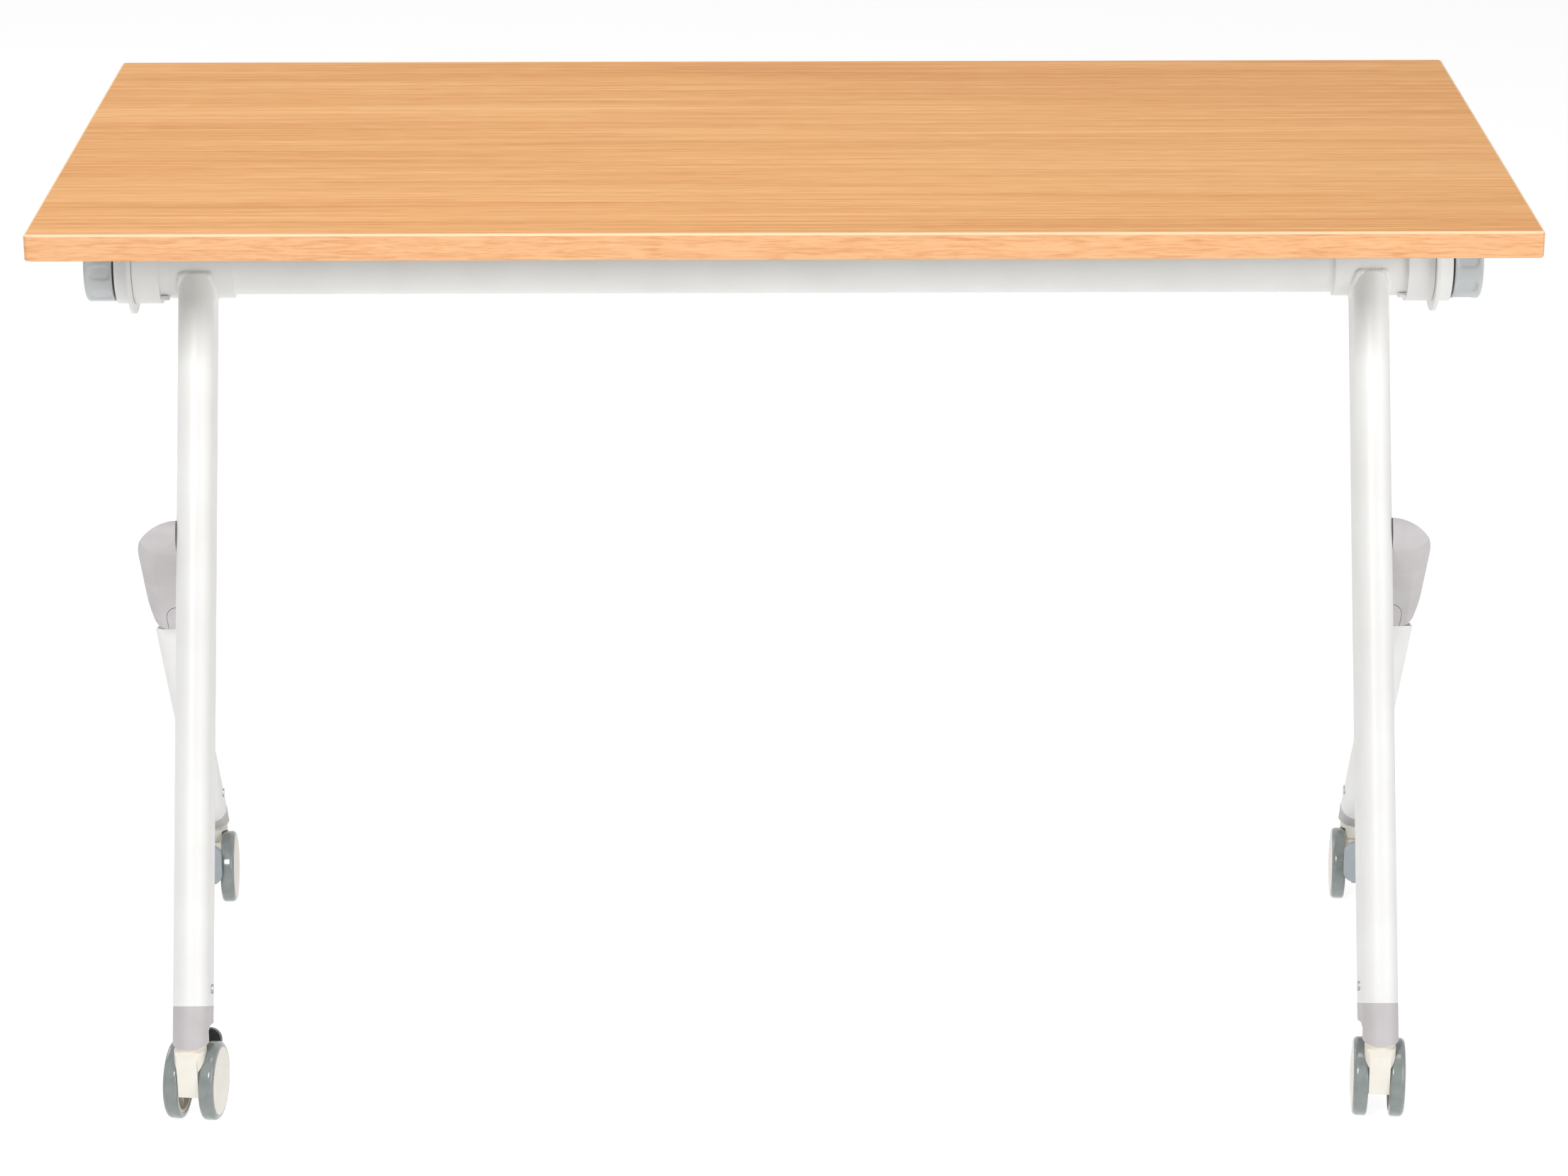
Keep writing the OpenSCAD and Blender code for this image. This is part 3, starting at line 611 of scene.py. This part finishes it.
@dataclass
class Tabletop:
    """The board and its edge band."""

    corner_radius: float = 4.0 * MM
    edge_radius: float = 2.0 * MM

    def build(self) -> None:
        """Dresses the board and builds its rounded band."""
        dress(["table_board"], "beech_top")
        band = add_piece("rounded_edge_band", self.band(), "tabletop", "beech_edge")
        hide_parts("edge_band")

    def band(self) -> bmesh.types.BMesh:
        """Returns a closed ring round the board, with round corners and edges."""
        low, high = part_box("edge_band")
        bm = bmesh.new()
        bmesh.ops.create_cube(bm, size=1.0)
        bmesh.ops.scale(bm, vec=high - low, verts=bm.verts)
        bmesh.ops.translate(bm, vec=(low + high) / 2, verts=bm.verts)
        upright = [e for e in bm.edges if abs(e.verts[0].co.z - e.verts[1].co.z) > MM]
        cut_bevel(bm, upright, self.corner_radius)
        bm.normal_update()
        rims = {e for f in bm.faces if abs(f.normal.z) > 0.9 for e in f.edges}
        cut_bevel(bm, rims, self.edge_radius)
        bm.normal_update()
        caps = [f for f in bm.faces if abs(f.normal.z) > 0.99 and f.calc_area() > 0.1]
        bmesh.ops.delete(bm, geom=caps, context="FACES")
        bmesh.ops.bridge_loops(bm, edges=[e for e in bm.edges if e.is_boundary])
        return bm


@dataclass
class Beam:
    """The beam under the top with its sleeves, collars and fasteners."""

    def build(self) -> None:
        """Dresses the beam's solids."""
        dress(["beam_tube"], "powder_white")
        rings = [f"{n}_{s.word}" for n in ("leg_sleeve", "pivot_collar") for s in Side]
        dress(rings, "powder_white")
        dress(["pivot_axles", "leg_pivot_pins", "bracket_screws"], "zinc_steel")
        dress(["front_cap_screws"], "zinc_steel")


@dataclass
class TiltJoint:
    """One end of the beam: the hub that carries the top, its washer, bracket and knob."""

    side: Side
    knob_radius: float = 30.5 * MM
    bore_radius: float = 8.05 * MM
    rim: float = 3.0 * MM
    recess_count: int = 8
    recess_depth: float = 1.3 * MM
    recess_span: float = 22.5
    recess_edge: float = 0.8 * MM
    floor_depth: float = 4.5 * MM
    plate_depth: float = 0.5 * MM
    lead: float = 0.8 * MM
    rim_steps: int = 6
    segments: int = 96
    stations: tuple[float, ...] = (1.6, 3.2, 5.0, 8.4, 12.0, 15.6, 18.0, 19.6)

    @property
    def turn(self) -> float:
        """How far the knob is turned, in degrees."""
        return 43.0 if self.side is Side.LEFT else 28.0

    def build(self) -> None:
        """Dresses this end's solids and builds its ribbed knob."""
        word = self.side.word
        dress([f"tilt_hub_{word}", f"tilt_bracket_{word}"], "powder_white")
        knob = add_piece(f"ribbed_knob_{word}", self.knob(), f"lock_knob_{word}", "knob_grey", 50)
        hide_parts(f"knob_{word}")

    def knob(self) -> bmesh.types.BMesh:
        """Returns the round knob with its finger recesses pressed in."""
        low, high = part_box(f"knob_{self.side.word}")
        length = high.x - low.x
        axis = (low + high) / 2
        inner = low.x if self.side is Side.RIGHT else high.x
        radius = self.knob_radius
        rim = [
            (length - self.rim * (1 - math.sin(a)), radius - self.rim * (1 - math.cos(a)))
            for a in (math.radians(90 / self.rim_steps * i) for i in range(self.rim_steps + 1))
        ]
        stations = self.stations
        profile = [
            (length - self.floor_depth, 0.0),
            (length - self.floor_depth, self.bore_radius),
            (0.0, self.bore_radius),
            (0.0, radius - self.lead),
            (0.3 * MM, radius - 0.3 * MM),
            (self.lead, radius),
            *((x * MM, radius) for x in stations),
            *rim,
            (length, radius * 0.6),
            (length - self.plate_depth, radius * 0.57),
            (length - self.plate_depth, 0.0),
        ]
        placed = [(inner + self.side.value * x, r) for x, r in profile]
        bm = spun(placed, axis.y, axis.z, self.segments, math.radians(self.turn))
        bmesh.ops.remove_doubles(bm, verts=bm.verts, dist=WELD_DISTANCE)
        pressed = [f for f in bm.faces if self.in_recess(f.calc_center_median(), axis, inner)]
        bmesh.ops.inset_region(
            bm, faces=pressed, thickness=self.recess_edge, use_even_offset=True
        )
        floor = {v for f in pressed for v in f.verts}
        for vert in floor:
            out = vert.co - axis
            out.x = 0
            vert.co -= out.normalized() * self.recess_depth
        walls = {v for f in pressed for e in f.edges for g in e.link_faces for v in g.verts}
        for _ in range(2):
            bmesh.ops.smooth_vert(
                bm, verts=list(walls), factor=0.4, use_axis_x=True, use_axis_y=True, use_axis_z=True
            )
        return bm

    def in_recess(self, place: Vector, axis: Vector, inner: float) -> bool:
        """Tells whether a place on the knob's grip lies in one of its finger recesses.

        Args:
            place: The place, in metres.
            axis: A place on the knob's axis.
            inner: The X of the knob's inner end.
        Returns:
            True inside a recess, whose ends are narrower than its middle.
        """
        spot = place - axis
        along = abs(place.x - inner) / MM
        on_grip = math.hypot(spot.y, spot.z) >= self.knob_radius * 0.98
        if not on_grip or not self.stations[0] < along < self.stations[-1]:
            return False
        period = 360 / self.recess_count
        off = (math.degrees(math.atan2(-spot.y, spot.z)) - self.turn + period / 2) % period
        off = abs(off - period / 2)
        at_end = along < self.stations[1] or along > self.stations[-2]
        return off < self.recess_span / (3 if at_end else 2)


@dataclass
class FrontLeg:
    """A flat-oval front leg, its weld to the beam's sleeve and its end cap."""

    side: Side
    half_width: float = 15.0 * MM
    half_depth: float = 30.0 * MM
    lean: float = 24.0
    top_drop: float = 12.0 * MM
    bead_radius: float = 3.1 * MM
    bead_step: float = 0.9 * MM
    bead_facets: int = 4

    def build(self) -> None:
        """Dresses the leg's solids and lays its weld bead."""
        dress([f"front_leg_{self.side.word}"], "powder_white")
        dress([f"front_leg_cap_{self.side.word}"], "housing_grey")
        self.weld()

    def outline(self) -> list[tuple[float, float]]:
        """Returns places (across, deep) round the leg's flat-oval section at even steps."""
        flat = 2 * (self.half_depth - self.half_width)
        bend = math.pi * self.half_width
        count = round(2 * (flat + bend) / self.bead_step)
        places = []
        for i in range(count):
            run = i * 2 * (flat + bend) / count
            sign = 1.0
            if run >= flat + bend:
                run -= flat + bend
                sign = -1.0
            if run < flat:
                across, deep = self.half_width, run - flat / 2
            else:
                angle = (run - flat) / self.half_width
                across = self.half_width * math.cos(angle)
                deep = flat / 2 + self.half_width * math.sin(angle)
            places.append((sign * across, sign * deep))
        return places

    def weld(self) -> None:
        """Lays a rippled bead along the line where the leg meets the sleeve."""
        low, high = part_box(f"leg_sleeve_{self.side.word}")
        leg_low, leg_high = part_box(f"front_leg_{self.side.word}")
        origin = Vector(((leg_low.x + leg_high.x) / 2, (low.y + high.y) / 2, (low.z + high.z) / 2))
        radius = (high.z - low.z) / 2
        reach = math.sqrt(radius**2 - self.top_drop**2)
        angle = math.radians(self.lean)
        deep_way = Vector((0, math.cos(angle), -math.sin(angle)))
        down_way = Vector((0, -math.sin(angle), -math.cos(angle)))
        curve = bpy.data.curves.new(f"weld_bead_{self.side.word}", "CURVE")
        curve.dimensions = "3D"
        curve.bevel_depth = self.bead_radius
        curve.bevel_resolution = self.bead_facets
        places = self.outline()
        spline = curve.splines.new("POLY")
        spline.points.add(len(places) - 1)
        spline.use_cyclic_u = True
        for i, (point, (across, deep)) in enumerate(zip(spline.points, places)):
            deep = max(-reach, min(reach, deep))
            down = math.sqrt(radius**2 - deep**2)
            spot = origin + Vector((across, 0, 0)) + deep_way * deep + down_way * down
            ripple = 1 + 0.06 * math.sin(i * 1.75) + 0.05 * math.sin(i * 0.61 + self.side.value)
            point.co = (*spot, 1)
            point.radius = (0.62 + 0.38 * (abs(deep) / reach) ** 3) * ripple
        curve.materials.append(FINISHES["powder_white"].material())
        bead = bpy.data.objects.new(curve.name, curve)
        bpy.context.scene.collection.objects.link(bead)
        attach(bead, "frame")
        LOG.info("made %s with %d points", bead.name, len(places))


@dataclass
class RearLeg:
    """A round rear leg with its hinge housing, release button and end cap."""

    side: Side

    def build(self) -> None:
        """Dresses the leg's solids."""
        word = self.side.word
        dress([f"rear_leg_{word}"], "powder_white")
        moulded = ("hinge_housing", "release_button", "rear_leg_cap")
        dress([f"{n}_{word}" for n in moulded], "housing_grey")
        dress([f"rear_cap_screw_{word}"], "zinc_steel")


@dataclass
class Caster:
    """A twin-wheel caster with its brake pedal."""

    corner: Corner

    def build(self) -> None:
        """Dresses the caster's solids."""
        word = self.corner.value
        dress([f"caster_body_{word}"], "caster_cream")
        dress([f"caster_pins_{word}"], "zinc_steel")
        front = self.corner in (Corner.FRONT_LEFT, Corner.FRONT_RIGHT)
        # The front pedals take the darker copy of the pedal plastic, painted shade.
        dress([f"brake_pedal_{word}"], "pedal_dark" if front else "pedal_grey")
        dress([f"wheel_hub_{w}_{word}" for w in ("inner", "outer")], "caster_cream")
        dress([f"tyre_{w}_{word}" for w in ("inner", "outer")], "tread_grey")


# ---------------------------------------------------------------- studio


@dataclass(frozen=True)
class SoftBox:
    """A square studio lamp that looks at a point."""

    name: str
    place: tuple[float, float, float]
    aim: tuple[float, float, float]
    size: float
    watts: float

    def build(self) -> None:
        """Adds the lamp."""
        data = bpy.data.lights.new(self.name, "AREA")
        data.shape = "SQUARE"
        data.size = self.size
        data.energy = self.watts
        lamp = bpy.data.objects.new(self.name, data)
        bpy.context.scene.collection.objects.link(lamp)
        lamp.location = self.place
        away = Vector(self.place) - Vector(self.aim)
        lamp.rotation_euler = away.to_track_quat("Z", "Y").to_euler()


@dataclass(frozen=True)
class Studio:
    """The pale floor, the world and the lamps."""

    ambient: float = 0.08
    floor_reach: float = 40.0
    floor_paint: float = 0.35
    floor_glow: float = 0.9
    floor_bounce: float = 0.28
    floor_grey: float = 0.86
    floor_gap: float = 0.5 * MM
    lamps: tuple[SoftBox, ...] = (
        SoftBox("lamp_key", (-0.9, -3.2, 2.55), (0, 0, 0.5), 0.9, 70),
        SoftBox("lamp_fill", (2.6, -2.0, 1.4), (0, 0, 0.5), 2.0, 34),
        SoftBox("lamp_top", (0.0, 0.0, 3.2), (0, 0, 0.4), 1.6, 27),
        SoftBox("lamp_rim", (-2.8, 1.6, 2.4), (0, 0, 0.5), 2.0, 36),
    )

    @staticmethod
    def seen(tree: bpy.types.NodeTree) -> bpy.types.NodeSocket:
        """Returns 1 for what the camera sees, straight, in a mirror or through glass."""
        ray = add_node(tree, "LightPath").outputs
        first = add_node(
            tree,
            "Math",
            {0: ray["Is Camera Ray"], 1: ray["Is Glossy Ray"]},
            operation="MAXIMUM",
        )
        return add_node(
            tree,
            "Math",
            {0: first.outputs[0], 1: ray["Is Transmission Ray"]},
            operation="MAXIMUM",
        ).outputs[0]

    def build(self) -> None:
        """Adds floor, world and lamps, and the plain view transform."""
        self.build_world()
        self.build_floor()
        for lamp in self.lamps:
            lamp.build()
        bpy.context.scene.view_settings.view_transform = "Standard"

    def build_world(self) -> None:
        """Makes the world white to the camera and a soft grey as a light."""
        world = bpy.data.worlds.new("studio")
        bpy.context.scene.world = world
        world.use_nodes = True
        tree = world.node_tree
        tree.nodes.clear()
        level = add_node(
            tree,
            "MapRange",
            {"Value": self.seen(tree), "To Min": self.ambient, "To Max": 1.0},
        )
        glow = add_node(tree, "Background", {"Color": (1, 1, 1, 1), "Strength": level.outputs[0]})
        output = add_node(tree, "OutputWorld")
        tree.links.new(glow.outputs[0], output.inputs[0])

    def build_floor(self) -> None:
        """Adds a lit floor that is white to the camera, keeps the shadow and throws light up."""
        bm = bmesh.new()
        bmesh.ops.create_grid(bm, x_segments=8, y_segments=8, size=self.floor_reach / 2)
        mesh = bpy.data.meshes.new("studio_floor")
        bm.to_mesh(mesh)
        bm.free()
        floor = bpy.data.objects.new("studio_floor", mesh)
        bpy.context.scene.collection.objects.link(floor)
        floor.location.z = -self.floor_gap
        paper = bpy.data.materials.new("paper_sweep")
        paper.use_nodes = True
        tree = paper.node_tree
        tree.nodes.clear()
        seen = self.seen(tree)
        pale = add_node(tree, "BsdfDiffuse", {"Color": (self.floor_grey,) * 3 + (1,)})
        shown = add_node(tree, "BsdfDiffuse", {"Color": (self.floor_paint,) * 3 + (1,)})
        lit = [
            add_node(
                tree,
                "AddShader",
                {0: paint.outputs[0], 1: add_node(tree, "Emission", {"Strength": glow}).outputs[0]},
            ).outputs[0]
            for paint, glow in ((pale, self.floor_bounce), (shown, self.floor_glow))
        ]
        mix = add_node(tree, "MixShader", {0: seen, 1: lit[0], 2: lit[1]})
        output = add_node(tree, "OutputMaterial")
        tree.links.new(mix.outputs[0], output.inputs[0])
        mesh.materials.append(paper)


@dataclass(frozen=True)
class PhotoCamera:
    """The camera that took the picture, as fitted to the desk's corners."""

    place: tuple[float, float, float] = (-0.0101, -3.7826, 1.7002)
    pitch: float = 19.522
    yaw: float = -0.152
    roll: float = -0.095
    focal_pixels: float = 6505.0
    image_width: int = 2212
    sensor: float = 36.0

    def build(self) -> None:
        """Adds the camera and makes it the scene's own."""
        data = bpy.data.cameras.new("photo_camera")
        data.sensor_fit = "HORIZONTAL"
        data.sensor_width = self.sensor
        data.lens = self.focal_pixels * self.sensor / self.image_width
        data.clip_end = 100
        down, turn, tilt = (math.radians(a) for a in (self.pitch, self.yaw, self.roll))
        right = Vector((math.cos(turn), math.sin(turn), 0))
        forward = Vector(
            (
                -math.sin(turn) * math.cos(down),
                math.cos(turn) * math.cos(down),
                -math.sin(down),
            )
        )
        up = right.cross(forward)
        across = right * math.cos(tilt) + up * math.sin(tilt)
        upward = up * math.cos(tilt) - right * math.sin(tilt)
        matrix = Matrix((across, upward, -forward)).transposed().to_4x4()
        matrix.translation = Vector(self.place)
        camera = bpy.data.objects.new("photo_camera", data)
        bpy.context.scene.collection.objects.link(camera)
        camera.matrix_world = matrix
        bpy.context.scene.camera = camera


def main() -> None:
    """Builds the looks in order."""
    logging.basicConfig(level=logging.INFO, format="%(name)s: %(message)s")
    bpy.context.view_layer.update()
    parts: list[Any] = [Tabletop(), Beam()]
    for side in Side:
        parts += [TiltJoint(side), FrontLeg(side), RearLeg(side)]
    parts += [Caster(corner) for corner in Corner]
    dress(["friction_washers"], "dark_washer")
    for part in parts:
        part.build()
    Studio().build()
    PhotoCamera().build()


if __name__ == "__main__":
    main()
